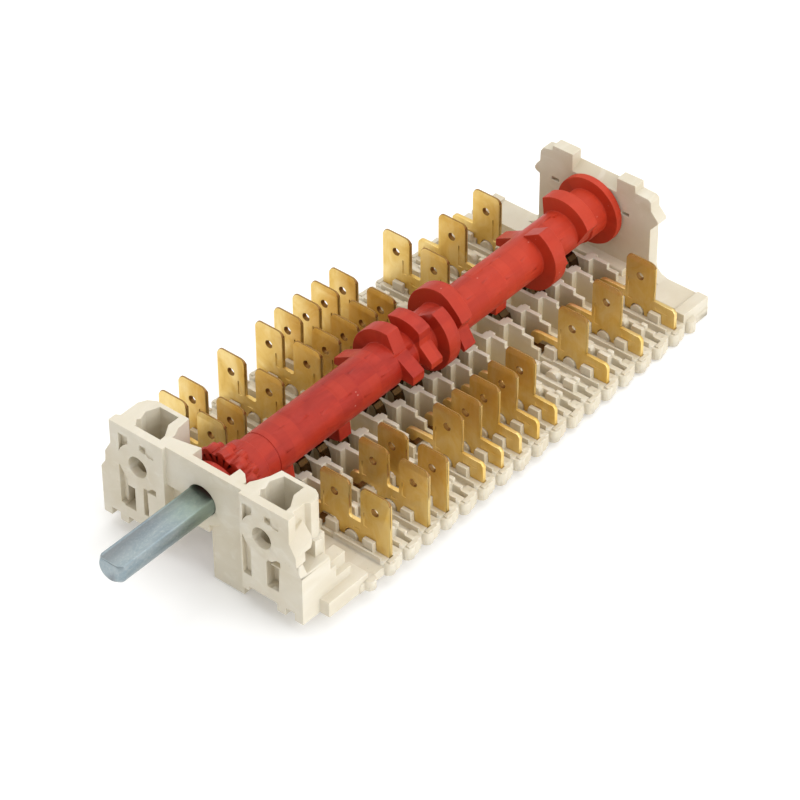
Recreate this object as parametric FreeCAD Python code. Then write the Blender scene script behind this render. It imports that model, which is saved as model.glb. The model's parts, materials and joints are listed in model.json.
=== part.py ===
import FreeCAD, Part
import math
import os

os.makedirs("parts", exist_ok=True)
V = FreeCAD.Vector

# Oven selector switch. Millimetres. Shaft axis along Y through the origin,
# shaft end toward -Y, terminals stand up toward +Z, front mounting face at Y = 0.

# ---------------------------------------------------------------- dimensions
pitch = 5.0                 # spacing of the contact slots along the body
slots = 18                  # number of slots, 0 to 17
y_first = 19.6              # front face of the terminal in slot 0, right side
y_shift_left = -2.6         # the left row sits this far forward of the right row
hole_x = 14.0               # half the spacing of the two mounting holes
hole_r = 2.1                # mounting hole radius
boss_r = 4.5                # raised ring round each mounting hole
plate_top = 7.4             # top of the front block above the shaft axis
panel_bottom = -12.75       # lower edge of the front panels
base_bottom = -14.4         # underside of the base
base_top = -12.6            # floor of the outer channels
pit_floor = -13.2           # floor of the pockets under the drum
base_x = 25.05              # half width of the base without its edge ribs
rib_r = 1.2                 # half round ribs along both edges
block_x = 20.2              # half width of the front block
block_y = 9.4               # depth of the front block
wall_top = -7.35            # top of the cross walls under the drum
wall_t = 0.85               # thickness of a cross wall
land_top = -11.65           # top of the lands in front of the terminals
rear_y0, rear_y1 = 107.4, 110.0
rear_land = -10.6           # land the rear plate stands on

shaft_r = 3.0               # switch shaft
shaft_flat = 1.6            # height of the milled flat above the axis
shaft_tip = -21.5
shaft_end = 24.0            # inner end of the shaft in the drum
barrel_r = 4.2              # red drum
front_barrel_r = 4.4        # its front part, up to front_barrel_y
front_barrel_y = 47.5
cam_r = 7.0
flange_r = 6.95             # disc at the rear end of the drum
cam_t = 3.0
drum_front = 2.75
drum_rear = 107.1
wheel_y0, wheel_y1 = 5.7, 8.05   # detent wheel
ring_y1 = 9.9               # rear face of the smaller ring behind it
ball_r = 1.75               # index ball
ball_x, ball_z = 5.84, -5.84  # it sits in a valley of the wheel, 45 degrees below the axis
ball_y = 7.75
pocket_r = 1.85             # its socket
pocket_floor = -15.7
tab_t = 0.8                 # terminal sheet
leaf_t = 0.3                # moving contact sheet


def box(x0, x1, y0, y1, z0, z1):
    return Part.makeBox(x1 - x0, y1 - y0, z1 - z0, V(x0, y0, z0))


def prism(pts, axis, a, b):
    """Extrude a closed outline; pts are given in the plane normal to axis."""
    if axis == "y":
        vs = [V(p[0], a, p[1]) for p in pts]
        d = V(0, b - a, 0)
    elif axis == "z":
        vs = [V(p[0], p[1], a) for p in pts]
        d = V(0, 0, b - a)
    else:
        vs = [V(a, p[0], p[1]) for p in pts]
        d = V(b - a, 0, 0)
    face = Part.Face(Part.makePolygon(vs + [vs[0]]))
    return face.extrude(d)


def cyl(r, y0, y1, x=0.0, z=0.0):
    return Part.makeCylinder(r, y1 - y0, V(x, y0, z), V(0, 1, 0))


def cylz(r, z0, z1, x, y):
    return Part.makeCylinder(r, z1 - z0, V(x, y, z0), V(0, 0, 1))


def arc_pts(cx, cz, r, a0, a1, n):
    return [(cx + r * math.cos(math.radians(a0 + (a1 - a0) * i / n)),
             cz + r * math.sin(math.radians(a0 + (a1 - a0) * i / n))) for i in range(n + 1)]


def fuse(items):
    first = items[0]
    return first.multiFuse(items[1:]) if len(items) > 1 else first


def mirror_x(shape):
    return shape.mirror(V(0, 0, 0), V(1, 0, 0))


def clean(shape):
    s = shape.removeSplitter()
    if s.ShapeType == "Compound" and len(s.Solids) == 1:
        s = s.Solids[0]
    return s


def save(name, shape):
    s = clean(shape)
    print("%-26s solids %d valid %s volume %.2f" % (name, len(s.Solids), s.isValid(), s.Volume))
    s.exportStep("parts/%s.step" % name)
    return s


# ---------------------------------------------------------------- terminals
left_double = [0, 1, 3, 5, 6, 7, 8, 9, 12]
left_single = [14, 16]
right_double = [0, 2, 3]
right_single = [5, 6, 7, 8, 9, 12, 14, 16]
used = [0, 1, 2, 3, 5, 6, 7, 8, 9, 12, 14, 16]

foot_bottom = -13.0
leg_bottom = -12.35
strip_top, strip_low = -7.9, -9.2


def tab_end(x0, x1):
    """Rounded upper end of a quick-connect tab, from its left side to its right side."""
    c = 1.15
    return arc_pts(x0 + c, 0.6 - c, c, 180, 90, 6) + arc_pts(x1 - c, 0.6 - c, c, 90, 0, 6)


def tab_details(solid, x0, x1):
    """Lead-in bevels on the tab, its hole and the coined groove down one edge."""
    xm = (x0 + x1) / 2.0
    zt = 0.7
    cut = [
        prism([(-0.05, zt), (0.28, zt), (-0.05, -0.75)], "x", x0 - 0.2, x1 + 0.2),
        prism([(tab_t + 0.05, zt), (tab_t - 0.28, zt), (tab_t + 0.05, -0.75)], "x", x0 - 0.2, x1 + 0.2),
        cyl(0.62, -0.2, tab_t + 0.2, xm, -3.35),
        Part.makeCone(0.84, 0.60, 0.24, V(xm, -0.001, -3.35), V(0, 1, 0)),
    ]
    for s in cut:
        solid = solid.cut(s)
    return solid


def terminal(double):
    """Right hand terminal with its front face at y = 0."""
    out = []
    # inner contact lobe, going clockwise from its lower side
    out += arc_pts(8.95, -9.3, 1.35, -75, -270, 12)
    out += [(10.2, strip_top)]
    if double:
        out = out[:-1] + [(9.75, -7.95)]
        out += tab_end(9.75, 16.05)
        out += arc_pts(16.6, -6.75, 0.55, 180, 270, 5)
        out += [(18.7, -7.3)] + tab_end(18.7, 25.0)
    else:
        out += [(13.75, strip_top)] + tab_end(13.75, 20.05) + [(20.05, -7.55)]
        out += [(24.0, -7.55)] + arc_pts(24.0, -8.55, 1.0, 90, 0, 6)[1:]
    out += [(25.0, foot_bottom), (21.95, foot_bottom), (21.95, -10.6), (18.95, -10.6), (18.95, leg_bottom),
            (18.1, leg_bottom), (18.1, -11.4)]
    out += arc_pts(16.6, -11.4, 1.5, 0, 180, 12)[1:-1]
    out += [(15.1, -11.4), (15.1, leg_bottom), (13.4, leg_bottom), (13.4, -9.6), (13.0, strip_low), (10.4, strip_low)]
    s = prism(out, "y", 0.0, tab_t)
    if double:
        s = tab_details(s, 9.75, 16.05)
        s = tab_details(s, 18.7, 25.0)
        s = s.cut(box(10.4, 11.35, -0.1, 0.14, -7.6, -4.6))
        s = s.cut(box(19.35, 20.3, -0.1, 0.14, -7.6, -4.6))
    else:
        s = tab_details(s, 13.75, 20.05)
        s = s.cut(box(14.35, 15.3, -0.1, 0.14, -9.3, -4.6))
    # shallow pressed bead along the strip that stiffens the stamping
    s = s.cut(box(20.6 if not double else 17.0, 23.6 if not double else 18.2, -0.1, 0.1, -9.3, -8.75))
    return s


term_double = terminal(True)
term_single = terminal(False)
term_double_left = mirror_x(term_double)
term_single_left = mirror_x(term_single)

for k in right_double + right_single:
    base = term_double if k in right_double else term_single
    save("terminal_right_%02d" % k, base.translated(V(0, y_first + pitch * k, 0)))
for k in left_double + left_single:
    base = term_double_left if k in left_double else term_single_left
    save("terminal_left_%02d" % k, base.translated(V(0, y_first + y_shift_left + pitch * k, 0)))

# ---------------------------------------------------------------- cam drum
# slot: outlines of its cams as (radius, angle in degrees) from one foot to the other;
# two neighbouring points on one radius are joined by an arc, others by a flat flank
R, F = cam_r, 3.6
lobes = {
    0: [[(F, -138), (R, -118), (R, -62), (F, -42)]],
    1: [[(F, 188), (R, 206), (R, 244), (F, 262)]],
    2: [[(F, 186), (R, 204), (R, 240), (F, 258)]],
    3: [[(F, -134), (R, -112), (R, -64), (F, -44)]],
    4: [[(F, 190), (5.6, 208), (5.6, 236), (F, 254)]],
    5: [[(4.3, 124), (R, 172), (R, 184), (F, 184)]],
    6: [[(4.3, 48), (R, 82), (R, 204), (F, 220)], [(F, -19), (R, -12), (R, 4), (4.3, 52)]],
    7: [[(4.5, 18), (R, 54), (R, 117), (F, 117)], [(F, -13), (R, -7), (R, 3), (5.15, 35)]],
    8: [[(F, -122), (R, -104), (R, 66.5), (4.35, 97)]],
    9: [[(4.3, 3), (6.1, 24), (6.1, 50), (6.25, 60), (6.6, 70), (R, 84), (R, 188), (F, 206)],
        [(F, -37), (R, -31), (R, -25), (4.3, 8)]],
    11: [[(F, 188), (5.8, 206), (5.8, 240), (F, 258)]],
    12: [[(F, -140), (R, -122), (R, -80), (F, -66)]],
    14: [[(F, -126), (R, -108), (R, 66.5), (4.5, 98)], [(4.55, 149), (R, 174), (R, 187), (F, 187)]],
    15: [[(F, -90), (5.8, -84), (5.8, -50), (F, -44)]],
    16: [[(4.4, -6), (R, 25), (R, 127), (4.55, 149)]],
}
# shallow pads left by the mould round the barrel, per slot: (start, end)
pads = {0: [(20, 76)], 1: [(58, 118)], 2: [(2, 48)], 3: [(40, 104)], 4: [(12, 84)], 5: [(28, 90)], 10: [(52, 112)],
        11: [(14, 66), (92, 130)], 12: [(34, 96)], 13: [(8, 52)], 15: [(30, 100)]}


def polar(r, a, y=0.0):
    return V(r * math.cos(math.radians(a)), y, r * math.sin(math.radians(a)))


def cam(points, y0, y1):
    """A cam cut from a disc: arcs where the radius holds, flat flanks where it changes."""
    centre = V(0, y0, 0)
    edges = [Part.makeLine(centre, polar(*points[0], y0))]
    for (ra, aa), (rb, ab) in zip(points, points[1:]):
        p, q = polar(ra, aa, y0), polar(rb, ab, y0)
        if abs(ra - rb) < 1e-9 and ra > 5.0:
            edges.append(Part.Arc(p, polar(ra, (aa + ab) / 2.0, y0), q).toShape())
        else:
            edges.append(Part.makeLine(p, q))
    edges.append(Part.makeLine(polar(*points[-1], y0), centre))
    return Part.Face(Part.Wire(edges)).extrude(V(0, y1 - y0, 0))


def sunk(points):
    """Carry both end flanks on to where they pass the axis most closely, inside the barrel."""
    out = list(points)
    for end, nxt in ((0, 1), (-1, -2)):
        r, a = out[end]
        if r <= F:
            continue
        t, p = polar(r, a), polar(*out[nxt])
        d = t - p
        d.normalize()
        near = p - d * p.dot(d)
        if near.Length < barrel_r - 0.05 and (near - t).dot(d) > 0:
            out[end] = (near.Length, a + math.degrees(polar(1, a).getAngle(near)) * (1 if end else -1))
    return out


drum = [cyl(barrel_r, drum_front, drum_rear), cyl(front_barrel_r, 10.5, front_barrel_y)]
# front collar, small step and the rear flange
drum.append(cyl(5.35, drum_front, 4.9))
drum.append(cyl(flange_r, 105.6, drum_rear))
drum.append(cyl(4.6, 101.4, 105.6))
# detent wheel with twelve rounded teeth
wheel_root, wheel_tip, teeth = 6.15, 1.15, 12
wheel = [cyl(wheel_root, wheel_y0, wheel_y1)]
for i in range(teeth):
    a = math.radians(30.0 * i)
    wheel.append(cyl(wheel_tip, wheel_y0, wheel_y1, 5.95 * math.cos(a), 5.95 * math.sin(a)))
drum += wheel
# second, smaller ring behind it, turned by part of a tooth
drum.append(cyl(5.4, wheel_y1, ring_y1))
for i in range(teeth):
    a = math.radians(30.0 * i + 12.0)
    drum.append(cyl(1.0, wheel_y1, ring_y1, 5.2 * math.cos(a), 5.2 * math.sin(a)))
drum.append(cyl(5.0, ring_y1, 12.6))
for k, ls in lobes.items():
    y0 = 17.5 + pitch * k
    for points in ls:
        drum.append(cam(sunk(points), y0, y0 + cam_t))
for k, ps in pads.items():
    y0 = 17.5 + pitch * k
    r = (front_barrel_r if y0 < front_barrel_y else barrel_r) + 0.05
    for (a0, a1) in ps:
        sector = [V(0, y0 + 0.1, 0), polar(3 * r, a0, y0 + 0.1), polar(3 * r, (a0 + a1) / 2.0, y0 + 0.1),
                  polar(3 * r, a1, y0 + 0.1)]
        wedge = Part.Face(Part.makePolygon(sector + [sector[0]])).extrude(V(0, cam_t - 0.2, 0))
        drum.append(wedge.common(cyl(r, y0 + 0.1, y0 + cam_t - 0.1)))
cam_drum = fuse(drum)

# shaft with a flat along its whole length
shaft = cyl(shaft_r, shaft_tip, shaft_end)
shaft = shaft.cut(box(-4, 4, shaft_tip - 1, shaft_end + 0.5, shaft_flat, 4.0))
# turned lead on the free end
lead = 0.9
cone = Part.makeCone(shaft_r - 0.7, shaft_r, lead, V(0, shaft_tip, 0), V(0, 1, 0))
ring = cyl(shaft_r + 0.5, shaft_tip, shaft_tip + lead).cut(cone)
shaft = shaft.cut(ring)
# blind bore of the drum is a copy of the shaft end, one hundredth clear
bore = cyl(shaft_r + 0.01, drum_front - 0.1, shaft_end + 0.02)
bore = bore.cut(box(-4, 4, drum_front - 0.2, shaft_end + 0.1, shaft_flat + 0.01, 4.0))
cam_drum = cam_drum.cut(bore)
# rear journal of the drum and the screwdriver slot in its end
journal_r = 2.6
cam_drum = fuse([cam_drum, cyl(journal_r, drum_rear - 0.5, rear_y1 - 0.6)])
# shallow groove round the barrel behind the collar
cam_drum = cam_drum.cut(cyl(5.2, 15.6, 15.95).cut(cyl(front_barrel_r - 0.15, 15.6, 15.95)))
save("cam_drum", cam_drum)
save("drive_shaft", shaft)

# ---------------------------------------------------------------- moving contacts
pressed = [0, 3, 8, 12, 14]


def ribbon(line, t):
    """Outline of a sheet of thickness t laid on a line of (x, z) points."""
    normals = []
    for (x0, z0), (x1, z1) in zip(line, line[1:]):
        d = math.hypot(x1 - x0, z1 - z0)
        normals.append((-(z1 - z0) / d, (x1 - x0) / d))
    top = []
    for i, (x, z) in enumerate(line):
        if i in (0, len(line) - 1):
            n = normals[0 if i == 0 else -1]
            top.append((x + t * n[0], z + t * n[1]))
        else:
            (ax, az), (bx, bz) = normals[i - 1], normals[i]
            k = t / (1.0 + ax * bx + az * bz)
            top.append((x + k * (ax + bx), z + k * (az + bz)))
    return line + top[::-1]


def leaf(k):
    """One bowed contact bridge for slot k: the hump is under the drum, the ends under the terminals."""
    if k in pressed:
        hump, end = -(cam_r + 0.12) - leaf_t, -12.45 - leaf_t
        half = [(0.0, hump), (0.9, hump - 0.1), (1.5, hump - 0.7), (2.1, -12.5), (2.6, -12.75), (9.8, end)]
    else:
        hump, end = -6.2 - leaf_t, -11.2 - leaf_t
        half = [(0.0, hump), (0.9, hump - 0.1), (1.4, hump - 0.7), (2.1, -12.5), (2.6, -12.75), (6.6, -12.75),
                (7.7, end), (9.8, end)]
    line = [(-x, z) for (x, z) in half[:0:-1]] + half
    bow = prism(ribbon(line, leaf_t), "y", -4.0, 4.0)
    plan = [(-9.8, -2.6), (-4.2, -2.6), (-4.2, -1.3), (-1.9, -1.3), (-1.6, -0.9), (1.6, -0.9), (1.9, 0.2), (4.2, 0.2),
            (4.2, -0.1), (9.8, -0.1), (9.8, 2.4), (4.2, 2.4), (4.2, 1.5), (1.9, 1.5), (1.6, 1.1), (-1.6, 1.1), (-1.9, 0.0),
            (-4.2, 0.0), (-4.2, 0.25), (-9.8, 0.25)]
    s = bow.common(prism(plan, "z", -14.0, 0.0))
    # contact rivets under the terminal lobes
    for (x, y) in ((8.9, 0.75), (-8.9, -1.85)):
        s = s.fuse(cylz(0.75, end + leaf_t - 0.05, end + leaf_t + 0.12, x, y))
    return s.translated(V(0, y_first + pitch * k, 0))


for k in used:
    save("contact_leaf_%02d" % k, leaf(k))

# ---------------------------------------------------------------- body
parts = []
# base plate, thicker outside, deeper under the drum
parts.append(box(-base_x, base_x, 11.9, rear_y1, base_bottom, pit_floor))
parts.append(box(9.2, base_x, 12.0, rear_y1, pit_floor - 0.1, base_top))
parts.append(box(-base_x, -9.2, 12.0, rear_y1, pit_floor - 0.1, base_top))


def cross_wall(y):
    """Thin S-shaped wall; y is the front face of its middle part."""
    t = wall_t
    plan = [(-7.1, y - 1.3), (-2.3, y - 1.3), (-2.3, y), (3.0, y), (3.0, y + 1.3), (7.1, y + 1.3), (7.1, y + 1.3 + t),
            (2.3, y + 1.3 + t), (2.3, y + t), (-3.0, y + t), (-3.0, y - 1.3 + t), (-7.1, y - 1.3 + t)]
    out = [prism(plan, "z", pit_floor - 0.1, wall_top)]
    # stiffening posts at both jogs
    out.append(box(2.6, 3.95, y + 0.1, y + 1.3 + t + 0.55, pit_floor - 0.1, wall_top))
    out.append(box(-3.95, -2.6, y - 1.3, y - 1.3 + t + 0.55, pit_floor - 0.1, wall_top))
    # stepped outer ends
    for sx, yo in ((1, y + 1.3), (-1, y - 1.3)):
        e = prism([(7.0, pit_floor - 0.1), (7.0, wall_top), (7.15, wall_top), (7.15, wall_top - 1.05), (9.3, wall_top - 1.05),
                   (9.3, -10.1), (10.95, -10.1), (10.95, pit_floor - 0.1)], "y", yo, yo + t)
        out.append(e if sx > 0 else mirror_x(e))
    return fuse(out)


def side_slot(yf):
    """Everything of one slot outside the drum on the right; yf is the terminal's front face."""
    out = []
    z0 = pit_floor - 0.1
    # back rib the stamping leans on, stepped down outward
    pts = [(11.4, z0), (11.4, -10.9), (13.2, -10.9), (13.2, -10.3), (17.0, -10.3), (17.0, -10.6), (20.4, -10.6),
           (20.4, -10.0), (21.6, -10.0), (21.6, -10.9), (23.4, -10.9), (23.4, -11.5), (25.0, -11.5), (25.0, z0)]
    out.append(prism(pts, "y", yf + 0.86, yf + 1.66))
    # land in front of the terminal, with a low rib along it
    out.append(box(10.9, 25.0, yf - 1.5, yf - 0.04, z0, land_top))
    out.append(box(13.8, 24.2, yf - 1.55, yf - 1.1, z0, land_top + 0.45))
    # two posts that hold the stamping from the front
    out.append(box(11.5, 13.85, yf - 0.95, yf - 0.05, z0, -9.4))
    out.append(box(19.75, 22.05, yf - 0.95, yf - 0.05, z0, -9.55))
    # pegs that fill the notches of the stamping
    out.append(fuse([cyl(1.35, yf - 0.3, yf + 0.9, 16.6, -11.45),
                     box(15.25, 17.95, yf - 0.3, yf + 0.9, z0, -11.45)]))
    out.append(box(19.1, 21.8, yf - 0.3, yf + 0.9, z0, -10.72))
    # outer wall with the slit for the foot
    out.append(box(25.09, 25.9, yf - 0.9, yf + 1.66, base_bottom, land_top))
    out.append(box(24.6, 25.6, yf + 0.86, yf + 2.6, base_bottom, land_top))
    # low ribs that part the channel behind
    out.append(box(22.9, 25.0, yf + 1.6, yf + 3.3, z0, -12.0))
    out.append(box(17.2, 18.4, yf + 1.6, yf + 3.6, z0, -12.2))
    return out


for k in range(-1, slots - 1):
    parts.append(cross_wall(y_first + pitch * k + 1.8))
for k in range(slots - 1):
    yf = y_first + pitch * k
    for q in side_slot(yf):
        parts.append(q)
    for q in side_slot(yf + y_shift_left):
        parts.append(mirror_x(q))

# edge ribs
for k in range(-1, slots + 1):
    for side, sh in ((1, 0.0), (-1, y_shift_left)):
        yc = y_first - 0.3 + pitch * k + sh
        if yc < 13.0 or yc > rear_y1 - 1.4:
            continue
        parts.append(cylz(rib_r, base_bottom, land_top - 0.25 if k >= 0 else -12.4, side * base_x, yc))

# front block ------------------------------------------------------------
top_plan = [(-20.2, 0.0), (20.2, 0.0), (20.2, 1.7), (19.3, 2.2), (19.3, 5.0), (20.2, 5.6), (20.2, 7.0), (19.6, 8.2), (18.5, 8.8),
            (11.0, 8.8), (10.5, 6.6), (9.6, 4.6), (8.8, 3.2), (8.8, 2.3), (-8.6, 2.3), (-8.7, 4.1), (-9.5, 5.8),
            (-9.8, 8.8), (-17.1, 8.8), (-18.6, 7.9), (-19.4, 6.4), (-19.4, 2.2), (-20.2, 1.7)]
low_plan = [(-20.2, 0.0), (20.2, 0.0), (20.2, 8.8), (-20.2, 8.8)]
blk = prism(top_plan, "z", -1.0, plate_top)
blk = blk.fuse(prism(low_plan, "z", panel_bottom, -0.9))
for s in (1, -1):
    # thicker side below the barb, with a post behind the window
    low_side = prism([(0.0, -4.4), (0.0, -1.2), (4.2, -0.4), (5.4, -0.4), (7.3, -0.9), (7.3, -4.4)], "x", 19.5, 21.1)
    # barb: a slanted wedge on the front part of the side
    barb = prism([(0.0, 2.3), (3.8, 4.9), (4.2, 0.8), (3.2, -2.2), (0.0, -2.4)], "x", 19.2, 21.6)
    u, v = V(1.4, 0.0, -2.5), V(0.0, 4.0, 2.4)
    a0 = V(20.2, 0.0, 2.15)
    n = u.cross(v)
    n.normalize()
    face = Part.Face(Part.makePolygon([a0 - u * 6 - v * 6, a0 + u * 6 - v * 6, a0 + u * 6 + v * 6, a0 - u * 6 + v * 6,
                                       a0 - u * 6 - v * 6]))
    barb = barb.cut(face.extrude(n * 12))
    # lower part of the side, stepped out, with a ledge on top
    low = prism([(19.0, -3.9), (22.5, -3.9), (22.8, -4.3), (22.8, panel_bottom), (19.0, panel_bottom)], "y", 0.0, 7.2)
    low2 = box(19.0, 22.8, 7.0, 12.2, panel_bottom, -6.8)
    fair = prism([(21.1, -2.4), (21.6, -2.4), (22.6, -4.0), (21.1, -4.0)], "y", 0.0, 1.6)
    toes = [box(20.9, 22.8, 0.0, 12.2, base_bottom, panel_bottom + 0.2),
            box(17.0, 18.9, 0.0, 4.0, base_bottom, panel_bottom + 0.2)]
    for q in [low_side, barb, low, low2, fair] + toes:
        blk = blk.fuse(q if s > 0 else mirror_x(q))
blk = blk.fuse(box(8.9, 10.7, 0.0, 4.0, -13.6, panel_bottom + 0.2))
# lower rail beside the first slots
for s in (1, -1):
    rail = box(20.5, 24.9, 4.2, 14.2, base_bottom, -11.2)
    blk = blk.fuse(rail if s > 0 else mirror_x(rail))

cuts = []
# centre panel lies back a little, with the opening for the shaft
cuts.append(box(-7.9, 9.2, -0.5, 0.8, -20, plate_top + 0.5))
cuts.append(cyl(shaft_r + 0.05, -1.0, 3.0))
cuts.append(cyl(4.3, -1.0, 1.2))
# cavity for the detent wheel
cuts.append(box(-8.2, 8.2, 2.3, 12.0, -9.2, plate_top + 1))
cuts.append(box(-5.8, 5.8, 2.3, 12.0, -11.2, -9.0))
# notches below the centre panel either side of the foot
cuts.append(box(-7.9, -2.6, 0.0, 2.2, -13.5, -1.0))
cuts.append(box(1.4, 9.2, -0.5, 1.4, -17.0, -3.2))
for c in (-hole_x, hole_x):
    cuts.append(cyl(hole_r, -1.0, 3.0, c, 0.0))
    # recesses in the face round the boss ring
    ring_keep = cyl(boss_r, -0.6, 1.2, c, 0.0)
    cuts.append(box(c - 4.2, c - 2.1, -0.5, 1.0, 1.6, 5.5).cut(ring_keep))
    cuts.append(box(c + 0.7, c + 1.9, -0.5, 0.8, 3.9, 5.4).cut(cyl(4.2, -0.6, 1.2, c, 0.0)))
    cuts.append(box(c + 1.8, c + 3.9, -0.5, 0.25, 3.6, 5.5).cut(ring_keep))
    cuts.append(box(c - 4.4, c - 2.6, -0.5, 1.0, -10.0, -1.6).cut(ring_keep))
    cuts.append(box(c + 1.0, c + 2.0, -0.5, 1.0, -10.0, -4.0))
    cuts.append(box(c + 1.0, c + 4.0, -0.5, 1.0, -4.4, -3.2).cut(ring_keep))
    # pocket behind the hole, open at the top
    pk = [(c + 4.2, 1.7), (c + 4.1, 2.9), (c + 2.6, 5.4), (c + 2.6, 7.9), (c - 1.7, 7.9), (c - 2.7, 5.4), (c - 1.7, 2.8),
          (c - 1.7, 1.7)]
    cuts.append(prism(pk, "z", -6.4, plate_top + 1))
    cuts.append(prism([(c - 2.5, 3.0), (c - 1.6, 1.9), (c - 1.6, 4.4)], "z", 4.6, plate_top + 1))
cuts.append(box(-17.6, -15.0, -0.5, 3.0, -10.4, -5.3))
cuts.append(box(14.9, 17.7, -0.5, 2.0, -9.9, -4.6))
for s in (1, -1):
    # window in the side between barb and post
    w = box(18.4, 21.8, 2.4, 5.4, -3.9, -0.3)
    cuts.append(w if s > 0 else mirror_x(w))
    # hollow under the block
    h = box(9.8, 18.2, 2.4, 9.5, -11.6, -7.6)
    cuts.append(h if s > 0 else mirror_x(h))
    # long recess above the lower rail
    g = box(21.6, 23.4, 8.6, 12.4, -9.4, -6.0)
    cuts.append(g if s > 0 else mirror_x(g))
for c in cuts:
    blk = blk.cut(c)
# low guides either side of the wheel, on the back of the front wall
ramp = prism([(5.3, 2.0), (8.4, 2.0), (8.4, 2.9), (6.9, 4.3), (5.4, 4.7)], "z", 3.0, plate_top)
ramp = ramp.cut(cyl(5.75, 1.0, 12.0))
lug = prism([(-8.7, 2.0), (-3.05, 2.0), (-3.05, 4.6), (-5.3, 4.05), (-8.7, 3.4)], "z", 2.0, plate_top)
lug = lug.cut(cyl(5.75, 1.0, 12.0))
blk = blk.multiFuse([ramp, lug])
blk = blk.cut(box(-7.9, 1.4, -0.5, 8.6, -15.0, -6.4))
foot = box(1.4, 8.3, 1.4, 11.4, -16.9, -3.0)
foot = foot.cut(box(3.0, 4.4, 0.0, 2.2, -9.4, -6.4))
foot = foot.cut(cyl(shaft_r + 0.05, -1.0, 5.0))
foot = foot.cut(cyl(7.4, 2.3, 12.0))
blk = blk.fuse(foot)
# bearing collar behind the plate
collar = cyl(5.0, 0.8, 2.3).cut(cyl(shaft_r + 0.05, 0.0, 3.0))
blk = blk.fuse(collar)
# socket in the foot for the ball and spring that index the wheel
blk = blk.cut(cylz(pocket_r, pocket_floor, -3.0, ball_x, ball_y))
parts.append(blk)
# web joining block and base under the drum
parts.append(box(-19.0, 19.0, 11.6, 12.6, base_bottom, -11.3))
parts.append(box(-22.8, -7.9, 4.2, 12.6, base_bottom, -12.9))
parts.append(box(7.9, 22.8, 4.2, 12.6, base_bottom, -12.9))
parts.append(box(-8.0, 1.5, 8.6, 12.6, base_bottom, -12.9))

# rear plate -------------------------------------------------------------
rp = [(-15.2, rear_land - 0.5), (-15.2, rear_land), (-13.9, rear_land + 0.5), (-12.9, rear_land + 1.4),
      (-12.6, rear_land + 2.6), (-12.6, 1.7), (-13.3, 1.95), (-13.75, 2.45), (-13.75, 2.9), (-13.3, 3.7), (-12.6, 4.6), (-12.5, 6.8), (-11.9, 7.8),
      (-9.8, 8.2), (-9.7, 9.3), (-5.0, 9.35), (-5.0, 7.3), (5.2, 7.5), (5.2, 8.8), (9.4, 8.9), (9.5, 7.4),
      (12.4, 7.3), (13.1, 6.8), (13.2, 4.9), (14.8, 3.3), (14.8, 2.7), (13.2, 0.8), (13.2, rear_land + 2.6),
      (13.5, rear_land + 1.4), (14.4, rear_land + 0.5), (15.8, rear_land), (15.8, rear_land - 0.5)]
rear = prism(rp, "y", rear_y0, rear_y1)
rear = rear.fuse(box(-25.0, 25.0, 103.6, rear_y1, base_bottom, rear_land))
# outer rims of the rear land
rear = rear.fuse(box(22.6, 25.0, 102.6, rear_y1, base_bottom, rear_land + 0.45))
rear = rear.fuse(box(-25.0, -22.6, 100.2, rear_y1, base_bottom, rear_land + 0.45))
rear = rear.cut(cyl(journal_r + 0.05, rear_y0 - 1, rear_y1 + 1))
# the top of the middle slopes down toward the front
rear = rear.cut(prism([(rear_y0 - 0.1, 5.6), (rear_y1 + 0.1, 7.35), (rear_y1 + 0.1, 12.0), (rear_y0 - 0.1, 12.0)], "x", -5.0, 5.2))
rear = rear.cut(box(-9.7, -8.0, rear_y0 - 1, rear_y0 + 1.2, 1.6, 2.3))
rear = rear.cut(box(6.5, 8.2, rear_y0 - 1, rear_y0 + 1.2, 1.3, 2.0))
# long recesses in the back of the uprights
for s in (1, -1):
    r = box(6.4, 9.4, rear_y1 - 1.1, rear_y1 + 1, -7, 5.2)
    rear = rear.cut(r if s > 0 else mirror_x(r))
parts.append(rear)
# step under the drum flange
parts.append(box(-9.0, 9.0, 105.0, rear_y0 + 0.5, pit_floor - 0.1, -9.2))

# each slot wall and its neighbours are first joined in groups, then to the rest
body = parts[0]
body = body.multiFuse(parts[1:])
# grooves that take the terminals, cut the full length of each stamping
slits = []
for k in range(slots):
    yf = y_first + pitch * k
    for s, sh in ((1, 0.0), (-1, y_shift_left)):
        y = yf + sh
        if y > 103.0:
            continue
        a = fuse([box(13.3, 18.98, y - 0.03, y + tab_t + 0.03, -12.42, -7.0).cut(
                      fuse([cyl(1.4, y - 1, y + 2, 16.6, -11.45), box(15.2, 18.0, y - 1, y + 2, -13.5, -11.45)])),
                  box(21.88, 25.07, y - 0.03, y + tab_t + 0.03, foot_bottom - 0.06, -7.0),
                  box(6.6, 10.9, y - 0.35, y + 3.05 if s < 0 else y + 2.75, pit_floor, -7.0),
                  box(10.8, 13.4, y - 0.03, y + tab_t + 0.03, -10.8, -7.0)])
        slits.append(a if s > 0 else mirror_x(a))
body = body.cut(Part.Compound(slits))
# keep the swept space of the drum clear
clear = fuse([cyl(cam_r + 0.3, 16.8, 104.9), cyl(barrel_r + 0.6, 10.0, 107.0), cyl(7.4, 105.2, rear_y0 - 0.0)])
body = body.cut(clear)
body = save("body", body)

# ---------------------------------------------------------------- index spring and ball
ball = Part.makeSphere(ball_r, V(ball_x, ball_y, ball_z))
save("index_ball", ball)


def coil(r, wire, z0, z1, turns, x, y):
    helix = Part.makeHelix((z1 - z0 - wire) / turns, z1 - z0 - wire, r)
    helix.translate(V(x, y, z0 + wire / 2.0))
    circle = Part.Wire(Part.makeCircle(wire / 2.0, V(x + r, y, z0 + wire / 2.0), V(0, 1, 0)))
    pipe = Part.Wire(helix.Edges).makePipeShell([circle], True, True)
    return pipe if pipe.ShapeType == "Solid" else Part.Solid(pipe)


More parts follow.
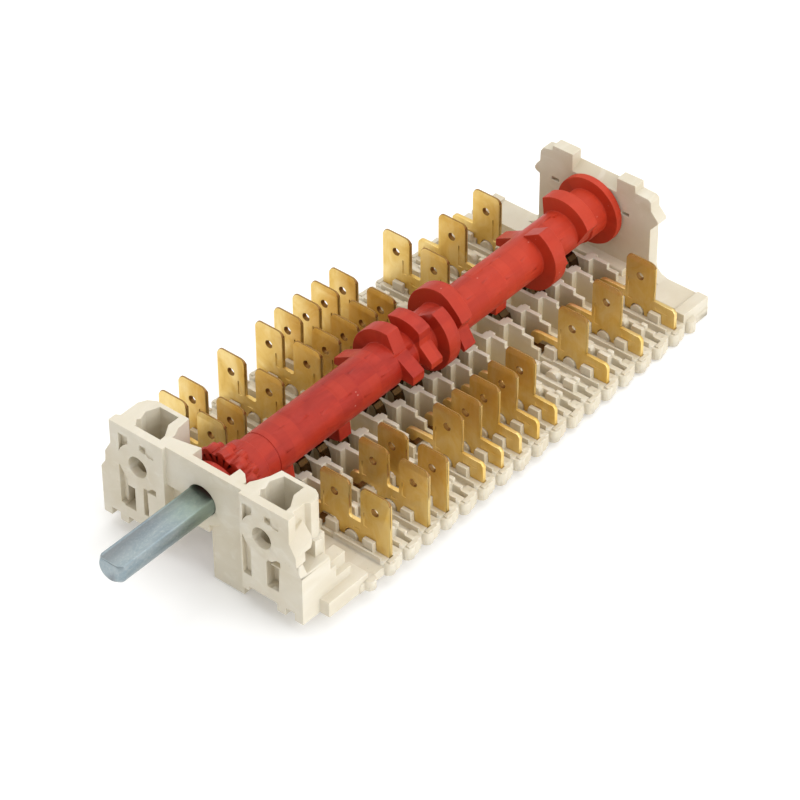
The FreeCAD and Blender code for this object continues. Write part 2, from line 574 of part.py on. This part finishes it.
spring = coil(1.3, 0.4, pocket_floor + 0.03, ball_z - 1.25, 6, ball_x, ball_y)
save("index_spring", spring)
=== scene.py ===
"""Looks of the oven selector switch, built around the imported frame. Metres, row frame."""

import json
import math

import bmesh
import bpy
import numpy as np
from mathutils import Matrix, Vector
from mathutils.bvhtree import BVHTree

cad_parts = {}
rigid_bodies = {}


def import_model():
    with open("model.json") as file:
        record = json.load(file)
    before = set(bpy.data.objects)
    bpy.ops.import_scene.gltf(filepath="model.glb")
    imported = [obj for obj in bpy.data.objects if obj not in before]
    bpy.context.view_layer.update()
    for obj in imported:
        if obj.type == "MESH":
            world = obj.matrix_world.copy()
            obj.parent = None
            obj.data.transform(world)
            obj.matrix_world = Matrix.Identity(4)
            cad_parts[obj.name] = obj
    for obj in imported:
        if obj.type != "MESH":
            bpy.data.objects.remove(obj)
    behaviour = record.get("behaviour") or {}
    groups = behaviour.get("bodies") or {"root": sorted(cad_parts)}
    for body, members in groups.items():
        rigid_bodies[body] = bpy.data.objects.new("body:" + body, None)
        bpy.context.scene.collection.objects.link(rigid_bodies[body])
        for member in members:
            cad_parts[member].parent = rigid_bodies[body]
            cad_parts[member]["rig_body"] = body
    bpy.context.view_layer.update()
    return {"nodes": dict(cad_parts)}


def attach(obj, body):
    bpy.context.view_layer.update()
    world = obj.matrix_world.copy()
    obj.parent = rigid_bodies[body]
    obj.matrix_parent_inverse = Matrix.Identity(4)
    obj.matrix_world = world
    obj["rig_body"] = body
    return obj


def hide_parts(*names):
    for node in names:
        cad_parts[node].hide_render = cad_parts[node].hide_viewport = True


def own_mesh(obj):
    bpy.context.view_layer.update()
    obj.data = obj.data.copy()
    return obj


for spare in list(bpy.data.objects):
    bpy.data.objects.remove(spare)

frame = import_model()
NODES = frame["nodes"]
BODY_OF = {n: o["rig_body"] for n, o in NODES.items()}
MM = 0.001


# ---------------------------------------------------------------- node graphs

class Graph:
    """A material's nodes, with short calls for the ones used here."""

    def __init__(self, name):
        self.mat = bpy.data.materials.new(name)
        self.mat.use_nodes = True
        self.nt = self.mat.node_tree
        self.bsdf = self.nt.nodes["Principled BSDF"]
        self.out = self.nt.nodes["Material Output"]
        self._coord = None

    def put(self, socket, value):
        if isinstance(value, bpy.types.NodeSocket):
            self.nt.links.new(value, socket)
        else:
            socket.default_value = value

    def node(self, kind, inputs=None, **props):
        n = self.nt.nodes.new(kind)
        for k, v in props.items():
            setattr(n, k, v)
        for k, v in (inputs or {}).items():
            self.put(n.inputs[k], v)
        return n

    @property
    def coord(self):
        if self._coord is None:
            self._coord = self.node("ShaderNodeTexCoord").outputs["Object"]
        return self._coord

    def xyz(self, vector=None):
        n = self.node("ShaderNodeSeparateXYZ", {0: self.coord if vector is None else vector})
        return n.outputs[0], n.outputs[1], n.outputs[2]

    def vec(self, x, y, z):
        return self.node("ShaderNodeCombineXYZ", {0: x, 1: y, 2: z}).outputs[0]

    def math(self, op, a, b=0.0, c=0.0, clamp=False):
        n = self.node("ShaderNodeMath", {0: a, 1: b, 2: c}, operation=op)
        n.use_clamp = clamp
        return n.outputs[0]

    def scaled(self, sx, sy, sz, vector=None):
        """Coordinates multiplied along each axis, so that a texture of scale 1 has features of 1/s metres."""
        return self.node(
            "ShaderNodeVectorMath",
            {0: self.coord if vector is None else vector, 1: (sx, sy, sz)},
            operation="MULTIPLY",
        ).outputs[0]

    def noise(self, vector, scale=1.0, detail=3.0, rough=0.55, distortion=0.0):
        return self.node(
            "ShaderNodeTexNoise",
            {"Vector": vector, "Scale": scale, "Detail": detail, "Roughness": rough, "Distortion": distortion},
        ).outputs["Fac"]

    def white(self, vector):
        return self.node("ShaderNodeTexWhiteNoise", {"Vector": vector}, noise_dimensions="3D").outputs["Value"]

    def voronoi(self, vector, scale=1.0, feature="F1", randomness=1.0):
        return self.node(
            "ShaderNodeTexVoronoi", {"Vector": vector, "Scale": scale, "Randomness": randomness}, feature=feature
        ).outputs["Distance"]

    def span(self, value, lo, hi, out_lo=0.0, out_hi=1.0, smooth=False):
        return self.node(
            "ShaderNodeMapRange",
            {"Value": value, "From Min": lo, "From Max": hi, "To Min": out_lo, "To Max": out_hi},
            interpolation_type="SMOOTHSTEP" if smooth else "LINEAR",
        ).outputs["Result"]

    def mix(self, fac, a, b, blend="MIX"):
        n = self.node("ShaderNodeMix", data_type="RGBA", blend_type=blend)
        self.put(n.inputs[0], fac)
        self.put(n.inputs[6], a)
        self.put(n.inputs[7], b)
        return n.outputs[2]

    def bump(self, height, distance, strength=1.0, normal=None):
        inputs = {"Height": height, "Distance": distance, "Strength": strength}
        if normal is not None:
            inputs["Normal"] = normal
        return self.node("ShaderNodeBump", inputs).outputs["Normal"]

    def set(self, **inputs):
        for k, v in inputs.items():
            self.put(self.bsdf.inputs[k.replace("_", " ")], v)


def srgb(r, g, b):
    """A display colour of 0..255 as linear RGBA."""
    def lin(v):
        v /= 255.0
        return v / 12.92 if v <= 0.04045 else ((v + 0.055) / 1.055) ** 2.4
    return (lin(r), lin(g), lin(b), 1.0)


# ---------------------------------------------------------------- materials

def ivory_housing():
    g = Graph("ivory_housing")
    x, y, z = g.xyz()
    broad = g.noise(g.scaled(55, 45, 70), detail=4, rough=0.6)
    flow = g.noise(g.scaled(300, 60, 420), detail=3, rough=0.5, distortion=0.6)
    grain = g.noise(g.scaled(4200, 4200, 4200), detail=2, rough=0.6)
    cream, beige, pale = srgb(214, 206, 187), srgb(205, 194, 170), srgb(224, 218, 203)
    base = g.mix(g.span(broad, 0.36, 0.66, 0, 1, True), cream, beige)
    base = g.mix(g.span(flow, 0.52, 0.72, 0, 0.45, True), base, pale)
    # fine mineral filler: a faint darker mottle and a few darker specks
    base = g.mix(g.span(grain, 0.50, 0.80, 0, 0.12), base, srgb(184, 172, 142))
    speck = g.voronoi(g.scaled(900, 900, 900))
    rare = g.white(g.node("ShaderNodeVectorMath", {0: g.scaled(420, 420, 420)}, operation="FLOOR").outputs[0])
    dot = g.math("MULTIPLY", g.span(speck, 0.16, 0.06, 0, 1, True), g.math("GREATER_THAN", rare, 0.90))
    base = g.mix(g.math("MULTIPLY", dot, 0.35), base, srgb(150, 138, 110))
    # painted shade: the floors of the slots are tinted a little darker and yellower than the outside, a warm
    # shade laid into the recesses
    slot_floor_shade = g.math("MULTIPLY", g.span(z, -0.0074, -0.0105, 0, 1, True), g.span(g.math("ABSOLUTE", x), 0.0150, 0.0080, 0, 1, True))
    slot_floor_shade = g.math("MULTIPLY", slot_floor_shade, g.span(y, 0.0125, 0.0150, 0, 1, True))
    base = g.mix(g.math("MULTIPLY", slot_floor_shade, 0.6), base, srgb(212, 194, 154))
    # outer edges handled and rubbed: a touch paler
    rim = g.span(g.node("ShaderNodeNewGeometry").outputs["Pointiness"], 0.52, 0.60, 0, 1, True)
    base = g.mix(g.math("MULTIPLY", rim, 0.35), base, pale)
    fine = g.noise(g.scaled(7000, 7000, 7000), detail=3, rough=0.7)
    wave = g.noise(g.scaled(260, 160, 260), detail=2)
    normal = g.bump(wave, 0.00009, 0.6)
    normal = g.bump(fine, 0.000012, 0.8, normal)
    g.set(Base_Color=base, Normal=normal,
          Roughness=g.span(g.noise(g.scaled(500, 240, 500), detail=4), 0.3, 0.75, 0.44, 0.62))
    g.set(Subsurface_Weight=0.08, Subsurface_Radius=(1.0, 0.75, 0.45), Subsurface_Scale=0.0008, IOR=1.5)
    return g.mat


def red_drum():
    g = Graph("red_drum")
    x, y, z = g.xyz()
    angle = g.math("ARCTAN2", x, z)
    turn = g.math("MULTIPLY", angle, 1 / math.tau)
    station = g.math("FLOOR", g.math("MULTIPLY", g.math("SUBTRACT", y, 0.0171), 200.0))
    half = g.math("FLOOR", g.math("MULTIPLY", g.math("SUBTRACT", y, 0.0171), 400.0))
    sector = g.math("FLOOR", g.math("MULTIPLY", g.math("ADD", turn, 0.5), 8.0))
    patch = g.white(g.vec(station, sector, 3.7))
    strip = g.white(g.vec(half, 9.1, 1.3))
    around = g.vec(g.math("SINE", angle), g.math("MULTIPLY", y, 70.0), g.math("COSINE", angle))
    mottle = g.noise(around, scale=2.2, detail=5, rough=0.62, distortion=0.4)
    brick, deep, warm = srgb(172, 41, 24), srgb(146, 28, 16), srgb(188, 57, 31)
    base = g.mix(g.span(mottle, 0.35, 0.68, 0, 1, True), brick, deep)
    base = g.mix(g.math("MULTIPLY", patch, 0.62), base, warm)
    base = g.mix(g.math("MULTIPLY", strip, 0.55), base, deep)
    # warmer toward the rear end
    base = g.mix(g.span(y, 0.030, 0.105, 0.0, 0.42, True), base, srgb(206, 68, 36))
    # drag marks along the draw of the mould, and turned rub marks
    drag = g.noise(g.vec(g.math("MULTIPLY", turn, 260.0), g.math("MULTIPLY", y, 160.0), 0.0), detail=3, rough=0.6)
    base = g.mix(g.span(drag, 0.58, 0.76, 0, 0.14, True), base, srgb(200, 84, 70))
    ring = g.noise(g.vec(g.math("MULTIPLY", turn, 5.0), g.math("MULTIPLY", y, 5200.0), 0.0), detail=2)
    base = g.mix(g.span(ring, 0.66, 0.78, 0, 0.10, True), base, srgb(204, 96, 82))
    # dust: small pale specks
    specks = g.voronoi(g.scaled(760, 620, 760))
    some = g.white(g.node("ShaderNodeVectorMath", {0: g.scaled(300, 300, 300)}, operation="FLOOR").outputs[0])
    dust = g.math("MULTIPLY", g.span(specks, 0.15, 0.05, 0, 1, True), g.math("GREATER_THAN", some, 0.86))
    base = g.mix(g.math("MULTIPLY", dust, 0.4), base, srgb(222, 164, 150))
    rim = g.span(g.node("ShaderNodeNewGeometry").outputs["Pointiness"], 0.53, 0.62, 0, 1, True)
    base = g.mix(g.math("MULTIPLY", rim, 0.20), base, srgb(200, 76, 60))
    normal = g.bump(mottle, 0.00004, 0.5)
    normal = g.bump(g.math("ADD", ring, g.math("MULTIPLY", drag, 0.7)), 0.000012, 0.7, normal)
    normal = g.bump(g.noise(g.scaled(6500, 6500, 6500), detail=3, rough=0.7), 0.000010, 0.8, normal)
    rough = g.math("ADD", g.span(mottle, 0.3, 0.7, 0.36, 0.50), g.math("MULTIPLY", patch, 0.07))
    rough = g.math("ADD", rough, g.math("MULTIPLY", dust, 0.2))
    g.set(Base_Color=base, Normal=normal, Roughness=rough)
    g.set(Subsurface_Weight=0.04, Subsurface_Radius=(1.0, 0.25, 0.15), Subsurface_Scale=0.0005, IOR=1.46)
    g.set(Specular_IOR_Level=0.38)
    return g.mat


def zinc_steel():
    g = Graph("zinc_steel")
    x, y, z = g.xyz()
    cloud = g.noise(g.scaled(420, 150, 420), detail=5, rough=0.62, distortion=0.8)
    crystal = g.noise(g.scaled(2600, 1500, 2600), detail=4, rough=0.7)
    drawn = g.noise(g.scaled(5200, 55, 5200), detail=3, rough=0.55)
    blue, steel, light = srgb(136, 151, 158), srgb(155, 166, 170), srgb(190, 197, 196)
    base = g.mix(g.span(cloud, 0.35, 0.68, 0, 1, True), blue, steel)
    base = g.mix(g.span(crystal, 0.50, 0.75, 0, 0.45), base, light)
    # a green and yellow tint that grows toward the panel
    tint = g.math("MULTIPLY", g.span(y, -0.0105, -0.0020, 0, 1, True), g.span(cloud, 0.30, 0.62, 0.55, 1.0))
    base = g.mix(g.math("MULTIPLY", tint, 0.60), base, srgb(150, 170, 152))
    # painted reflection: the edges are darkened to a dull grey, standing in for a dark strip reflected along them
    rim = g.span(g.node("ShaderNodeNewGeometry").outputs["Pointiness"], 0.54, 0.64, 0, 1, True)
    base = g.mix(g.math("MULTIPLY", rim, 0.5), base, srgb(108, 104, 104))
    normal = g.bump(drawn, 0.000016, 0.8)
    normal = g.bump(crystal, 0.000014, 0.7, normal)
    rough = g.math("ADD", g.span(cloud, 0.3, 0.7, 0.27, 0.40), g.math("MULTIPLY", crystal, 0.06))
    g.set(Base_Color=base, Normal=normal, Roughness=rough)
    g.set(Metallic=1.0)
    return g.mat


def brass_terminal():
    g = Graph("brass_terminal")
    x, y, z = g.xyz()
    own = g.white(g.vec(g.math("FLOOR", g.math("MULTIPLY", g.math("ADD", y, 0.0013), 400.0)),
                        g.math("FLOOR", g.math("MULTIPLY", x, 8.0)), 0.5))
    shift = g.math("MULTIPLY", own, 9.0)
    stain = g.noise(g.vec(g.math("ADD", g.math("MULTIPLY", x, 210.0), shift), g.math("MULTIPLY", y, 210.0),
                          g.math("MULTIPLY", z, 150.0)), detail=5, rough=0.62, distortion=0.7)
    rolled = g.noise(g.vec(g.math("ADD", g.math("MULTIPLY", x, 3400.0), shift), g.math("MULTIPLY", y, 3400.0),
                           g.math("MULTIPLY", z, 130.0)), detail=3, rough=0.6)
    gold, straw, brown = srgb(234, 200, 114), srgb(242, 217, 152), srgb(200, 152, 64)
    base = g.mix(g.span(stain, 0.34, 0.66, 0, 1, True), straw, gold)
    base = g.mix(g.span(stain, 0.58, 0.78, 0, 0.35, True), base, brown)
    base = g.mix(g.span(rolled, 0.50, 0.75, 0, 0.16), base, srgb(218, 176, 96))
    base = g.mix(g.math("MULTIPLY", own, 0.16), base, srgb(228, 190, 104))
    # sheared edges: redder and duller than the rolled faces
    n = g.node("ShaderNodeNewGeometry").outputs["Normal"]
    nx, ny, nz = g.xyz(n)
    flat = g.math("MAXIMUM", g.math("ABSOLUTE", ny), 0.0)
    tab = g.span(z, -0.0062, -0.0050, 0, 1, True)
    edge = g.math("MULTIPLY", g.span(flat, 0.97, 0.80, 0, 1, True), tab)
    base = g.mix(g.math("MULTIPLY", edge, 0.85), base, srgb(140, 96, 48))
    shear = g.noise(g.vec(g.math("MULTIPLY", x, 900.0), g.math("MULTIPLY", y, 6200.0), g.math("MULTIPLY", z, 900.0)), detail=2)
    normal = g.bump(rolled, 0.000010, 0.6)
    normal = g.bump(stain, 0.00002, 0.35, normal)
    normal = g.bump(g.math("MULTIPLY", shear, edge), 0.00002, 0.8, normal)
    rough = g.math("ADD", g.span(stain, 0.3, 0.7, 0.38, 0.52), g.math("MULTIPLY", edge, 0.10))
    g.set(Base_Color=base, Normal=normal, Roughness=rough)
    g.set(Metallic=1.0)
    return g.mat


def contact_strip():
    g = Graph("contact_strip")
    stain = g.noise(g.scaled(260, 260, 260), detail=5, rough=0.6, distortion=0.5)
    rolled = g.noise(g.scaled(240, 5200, 240), detail=3, rough=0.6)
    # painted shade: the tarnish mix is the leaf's own, but its colours are set darker and browner than the
    # terminals' brass, standing in for the shade of the slots under the drum
    base = g.mix(g.span(stain, 0.36, 0.66, 0, 1, True), srgb(158, 124, 78), srgb(120, 90, 52))
    base = g.mix(g.span(rolled, 0.50, 0.74, 0, 0.25), base, srgb(178, 146, 96))
    x, y, z = g.xyz()
    # painted shade: the middle of the leaf, its hump under the drum, is darkened to a dark brown as the drum's
    # shade
    hump_shade = g.span(g.math("ABSOLUTE", x), 0.0034, 0.0024, 0, 1, True)
    base = g.mix(g.math("MULTIPLY", hump_shade, 0.85), base, srgb(84, 66, 46))
    normal = g.bump(rolled, 0.000010, 0.8)
    g.set(Base_Color=base, Normal=normal, Roughness=g.span(stain, 0.3, 0.7, 0.22, 0.36))
    g.set(Metallic=1.0)
    return g.mat


def bearing_steel():
    g = Graph("bearing_steel")
    haze = g.noise(g.scaled(900, 900, 900), detail=4, rough=0.6)
    scuff = g.noise(g.scaled(600, 5200, 600), detail=2)
    base = g.mix(g.span(haze, 0.35, 0.68, 0, 1, True), srgb(214, 216, 220), srgb(176, 178, 184))
    g.set(Base_Color=base, Normal=g.bump(scuff, 0.000004, 0.6),
          Roughness=g.span(haze, 0.3, 0.7, 0.10, 0.22))
    g.set(Metallic=1.0)
    return g.mat


def spring_steel():
    g = Graph("spring_steel")
    haze = g.noise(g.scaled(700, 700, 500), detail=4, rough=0.6)
    wire = g.noise(g.scaled(1600, 1600, 5200), detail=3)
    base = g.mix(g.span(haze, 0.35, 0.68, 0, 1, True), srgb(176, 176, 180), srgb(128, 126, 128))
    base = g.mix(g.span(wire, 0.52, 0.76, 0, 0.35), base, srgb(206, 206, 208))
    g.set(Base_Color=base, Normal=g.bump(wire, 0.000012, 0.8),
          Roughness=g.span(haze, 0.3, 0.7, 0.26, 0.42))
    g.set(Metallic=1.0)
    return g.mat


MATERIALS = {
    "ivory_housing": ivory_housing(),
    "red_drum": red_drum(),
    "zinc_steel": zinc_steel(),
    "brass_terminal": brass_terminal(),
    "contact_strip": contact_strip(),
    "bearing_steel": bearing_steel(),
    "spring_steel": spring_steel(),
}


# ---------------------------------------------------------------- pieces

def slot_of(node):
    if node == "body":
        return "ivory_housing"
    if node == "cam_drum":
        return "red_drum"
    if node == "drive_shaft":
        return "zinc_steel"
    if node.startswith("terminal"):
        return "brass_terminal"
    if node.startswith("contact_leaf"):
        return "contact_strip"
    if node == "index_ball":
        return "bearing_steel"
    return "spring_steel"


def rounded(node, name, width, segments=2, angle=28.0, merge_flats=True):
    """A copy of a CAD node with its edges broken to a small radius, as a mould or a press leaves them."""
    bm = bmesh.new()
    bm.from_mesh(NODES[node].data)
    bmesh.ops.remove_doubles(bm, verts=bm.verts, dist=1e-6)
    sharp_form = BVHTree.FromBMesh(bm)
    if merge_flats:
        bmesh.ops.dissolve_limit(bm, angle_limit=math.radians(0.4), verts=bm.verts, edges=bm.edges)
    # each edge gets as much radius as the faces beside it have room for
    layer = bm.edges.layers.float.new("bevel_weight_edge")
    for e in bm.edges:
        if len(e.link_faces) != 2 or e.calc_face_angle(0.0) < math.radians(angle):
            e[layer] = 0.0
            continue
        length = e.calc_length()
        room = min([f.calc_area() / length for f in e.link_faces] + [length]
                   + [o.calc_length() for v in e.verts for o in v.link_edges if o is not e])
        share = room / (2.2 * width)
        e[layer] = 0.0 if share < 0.25 else min(1.0, share)
    mesh = bpy.data.meshes.new(name + "_raw")
    bm.to_mesh(mesh)
    bm.free()
    own = mesh.attributes.get("custom_normal")
    if own is not None:
        mesh.attributes.remove(own)
    ob = bpy.data.objects.new(name, mesh)
    bpy.context.scene.collection.objects.link(ob)
    mesh.materials.clear()
    mesh.materials.append(MATERIALS[slot_of(node)])
    bevel = ob.modifiers.new("edges", "BEVEL")
    bevel.width = width
    bevel.segments = segments
    bevel.limit_method = "WEIGHT"
    bevel.use_clamp_overlap = False
    bevel.loop_slide = merge_flats
    soft = bpy.data.meshes.new_from_object(
        ob.evaluated_get(bpy.context.evaluated_depsgraph_get()), preserve_all_data_layers=True,
        depsgraph=bpy.context.evaluated_depsgraph_get(),
    )
    ob.modifiers.clear()
    # corners that overshot go back to the surface, strips that folded over are turned face up
    bm = bmesh.new()
    bm.from_mesh(soft)
    for v in bm.verts:
        spot, _, _, gap = sharp_form.find_nearest(v.co)
        if gap > 0.75 * width:
            v.co = spot
    bm.normal_update()
    folded = []
    for f in bm.faces:
        _, normal, _, gap = sharp_form.find_nearest(f.calc_center_median())
        if gap < 0.3 * width and normal.dot(f.normal) < -0.3:
            folded.append(f)
    bmesh.ops.reverse_faces(bm, faces=folded)
    bm.to_mesh(soft)
    bm.free()
    soft.polygons.foreach_set("use_smooth", [True] * len(soft.polygons))
    ob.data = soft
    shade = ob.modifiers.new("shade", "WEIGHTED_NORMAL")
    shade.mode = "FACE_AREA"
    shade.weight = 60
    shade.keep_sharp = False
    done = bpy.data.meshes.new_from_object(
        ob.evaluated_get(bpy.context.evaluated_depsgraph_get()), preserve_all_data_layers=True,
        depsgraph=bpy.context.evaluated_depsgraph_get(),
    )
    done.name = name
    ob.modifiers.clear()
    ob.data = done
    bpy.data.meshes.remove(mesh)
    bpy.data.meshes.remove(soft)
    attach(ob, BODY_OF[node])
    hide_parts(node)
    return ob


for node in sorted(NODES):
    if node == "body":
        rounded(node, "housing_moulding", 0.12 * MM, merge_flats=False)
    elif node == "cam_drum":
        rounded(node, "cam_drum_moulding", 0.12 * MM, merge_flats=False)
    elif node == "drive_shaft":
        rounded(node, "flatted_shaft", 0.12 * MM)
    elif node.startswith("terminal"):
        rounded(node, node + "_tab", 0.12 * MM)
    elif node == "index_spring":
        # the coil is copied onto a mesh of its own at its modelled length, its foot on the socket's floor; the
        # ball's travel is 1.2 mm
        coil = bpy.data.objects.new("index_coil", NODES[node].data.copy())
        bpy.context.scene.collection.objects.link(coil)
        coil.matrix_world = NODES[node].matrix_world.copy()
        coil.data.materials.clear()
        coil.data.materials.append(MATERIALS[slot_of(node)])
        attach(coil, BODY_OF[node])
        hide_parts(node)
        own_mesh(coil)
    else:
        o = NODES[node]
        o.data.materials.clear()
        o.data.materials.append(MATERIALS[slot_of(node)])


# ---------------------------------------------------------------- stage

# The part leans back a little on its foot and on its rear edge, so the floor is laid through those two lines.
foot_z, foot_y = -16.9 * MM, 11.4 * MM
rear_z, rear_y = -14.4 * MM, 110.0 * MM
slope = (rear_z - foot_z) / (rear_y - foot_y)
bm = bmesh.new()
half = 1.6
for sx, sy in ((-1, -1), (1, -1), (1, 1), (-1, 1)):
    yy = sy * half
    bm.verts.new((sx * half, yy, foot_z + slope * (yy - foot_y) - 0.03 * MM))
bm.faces.new(list(bm.verts))
floor_mesh = bpy.data.meshes.new("floor")
bm.to_mesh(floor_mesh)
bm.free()
floor = bpy.data.objects.new("floor", floor_mesh)
bpy.context.scene.collection.objects.link(floor)
fl = Graph("floor_paper")
paper = fl.noise(fl.scaled(900, 900, 900), detail=2)
fl.set(Base_Color=fl.mix(fl.span(paper, 0.4, 0.7, 0, 0.2), (0.90, 0.90, 0.90, 1), (0.88, 0.88, 0.88, 1)))
fl.set(Roughness=0.9, Emission_Color=(1.0, 1.0, 1.0, 1.0), Emission_Strength=0.16)
floor_mesh.materials.append(fl.mat)


# ---------------------------------------------------------------- light

scene = bpy.context.scene
world = bpy.data.worlds.new("studio")
scene.world = world
world.use_nodes = True
wt = world.node_tree
back = wt.nodes["Background"]
tc = wt.nodes.new("ShaderNodeTexCoord")
sep = wt.nodes.new("ShaderNodeSeparateXYZ")
wt.links.new(tc.outputs["Generated"], sep.inputs[0])
ramp = wt.nodes.new("ShaderNodeValToRGB")
ramp.color_ramp.elements[0].position = 0.0
ramp.color_ramp.elements[0].color = (1.0, 1.0, 1.0, 1)
ramp.color_ramp.elements[1].position = 1.0
ramp.color_ramp.elements[1].color = (0.54, 0.53, 0.51, 1)
mid = ramp.color_ramp.elements.new(0.45)
mid.color = (0.90, 0.89, 0.87, 1)
wt.links.new(sep.outputs[2], ramp.inputs[0])
wt.links.new(ramp.outputs[0], back.inputs[0])
back.inputs[1].default_value = 0.72


def softbox(name, place, size, power, aim=(0.0, 0.045, 0.0), tint=(1, 1, 1), tall=None):
    lamp = bpy.data.lights.new(name, "AREA")
    lamp.shape = "RECTANGLE"
    lamp.size = size
    lamp.size_y = tall or size
    lamp.energy = power
    lamp.color = tint
    ob = bpy.data.objects.new(name, lamp)
    scene.collection.objects.link(ob)
    ob.location = place
    ob.rotation_euler = (Vector(aim) - Vector(place)).to_track_quat("-Z", "Y").to_euler()
    return ob


softbox("key", (-0.45, 0.10, 0.85), 0.85, 3.4, tint=(1.0, 0.99, 0.97))
softbox("top", (0.15, 0.35, 0.95), 1.00, 3.8, tint=(0.98, 0.99, 1.0))
softbox("fill", (0.85, 0.05, 0.50), 0.65, 5.2, tint=(0.96, 0.97, 1.0))


# ---------------------------------------------------------------- camera

azimuth, elevation, roll = math.radians(40.35963), math.radians(39.71813), math.radians(-0.45143)
off_x, off_y, distance, focal_px = -33.58667 * MM, -17.11898 * MM, 596.657 * MM, 3579.557
toward = Vector((math.sin(azimuth) * math.cos(elevation), -math.cos(azimuth) * math.cos(elevation), math.sin(elevation)))
right = Vector((math.cos(azimuth), math.sin(azimuth), 0.0))
up = toward.cross(right)
right_r = math.cos(roll) * right + math.sin(roll) * up
up_r = -math.sin(roll) * right + math.cos(roll) * up
eye = -off_x * right_r - off_y * up_r + distance * toward
lens = bpy.data.cameras.new("camera")
camera = bpy.data.objects.new("camera", lens)
scene.collection.objects.link(camera)
camera.matrix_world = Matrix((
    (right_r.x, up_r.x, toward.x, eye.x),
    (right_r.y, up_r.y, toward.y, eye.y),
    (right_r.z, up_r.z, toward.z, eye.z),
    (0, 0, 0, 1),
))
lens.sensor_width = 36.0
lens.lens = focal_px / 800.0 * 36.0
lens.clip_start = 0.01
lens.clip_end = 20.0
lens.dof.use_dof = False
scene.camera = camera

scene.view_settings.view_transform = "Standard"
scene.view_settings.look = "None"
scene.view_settings.exposure = 0.0
scene.view_settings.gamma = 1.0
